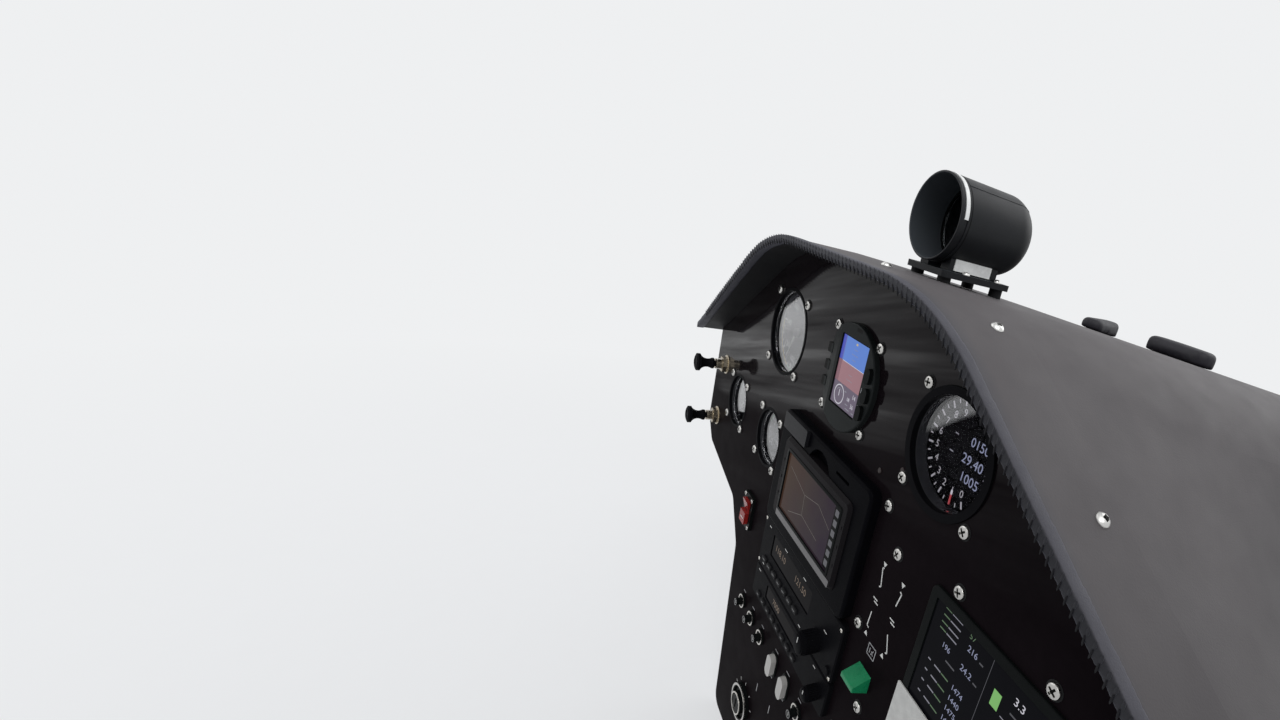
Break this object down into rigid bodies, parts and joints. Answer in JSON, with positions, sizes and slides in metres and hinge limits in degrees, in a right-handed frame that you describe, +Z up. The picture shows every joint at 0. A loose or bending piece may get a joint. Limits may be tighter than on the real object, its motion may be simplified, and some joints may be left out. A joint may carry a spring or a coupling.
{
  "type": "aircraft instrument panel",
  "caption": "Instrument panel of a small two-seat aircraft, with an arched coaming, round dials, lit displays, a radio stack, small controls and a compass on top.",
  "frame": {"origin": "middle of the four airframe bolts, on the forward faces of the side brackets", "axes": "+X to the right as the pilot sees it, +Y forward (away from the pilot), +Z up"},
  "size_m": [0.622, 0.425, 0.5853],
  "materials": {
    "coaming_skin": "fine grained",
    "padded_trim": "soft grained",
    "panel_black": "gloss",
    "bracket_metal": "satin",
    "case_black": "satin",
    "cover_glass": "clear",
    "dial_face": "printed",
    "screen": "lit display",
    "unit_grey": "satin",
    "cradle_black": "satin",
    "switch_red": "gloss",
    "switch_green": "gloss",
    "switch_white": "gloss",
    "plated_nut": "bright",
    "blank_card": "satin",
    "compass_body": "satin",
    "compass_trim": "satin",
    "rubber_foot": "matt",
    "pad_black": "soft"
  },
  "bodies": {
    "root": {"airspeed_case": "case_black", "airspeed_dial": "dial_face", "airspeed_glass": "cover_glass", "altimeter_case": "case_black", "altimeter_dial": "dial_face", "altimeter_glass": "cover_glass", "breakers": "cradle_black", "card": "blank_card", "card_cover": "cradle_black", "coaming": "coaming_skin", "coaming_flange": "bracket_metal", "coaming_lip": "padded_trim", "compass_base": "compass_body", "compass_case": "compass_body", "compass_feet": "rubber_foot", "compass_label": "compass_trim", "compass_lens": "cover_glass", "compass_saddle": "compass_body", "compass_strip": "compass_trim", "cradle": "cradle_black", "demister_pads": "pad_black", "engine_display": "case_black", "engine_screen": "screen", "flight_display": "case_black", "flight_display_buttons": "case_black", "flight_display_screen": "screen", "green_rocker": "switch_green", "key_switch": "cradle_black", "left_bracket": "bracket_metal", "left_gauge_case": "case_black", "left_gauge_dial": "dial_face", "left_gauge_glass": "cover_glass", "lower_pull_knob": "case_black", "middle_gauge_case": "case_black", "middle_gauge_dial": "dial_face", "middle_gauge_glass": "cover_glass", "navigation_screen": "screen", "navigation_unit": "unit_grey", "panel_plate": "panel_black", "pull_knob_nuts": "plated_nut", "radio": "case_black", "radio_knobs": "case_black", "red_rocker": "switch_red", "red_rocker_frame": "cradle_black", "right_bracket": "bracket_metal", "transponder": "case_black", "upper_pull_knob": "case_black", "white_switches": "switch_white"}
  },
  "joints": []
}
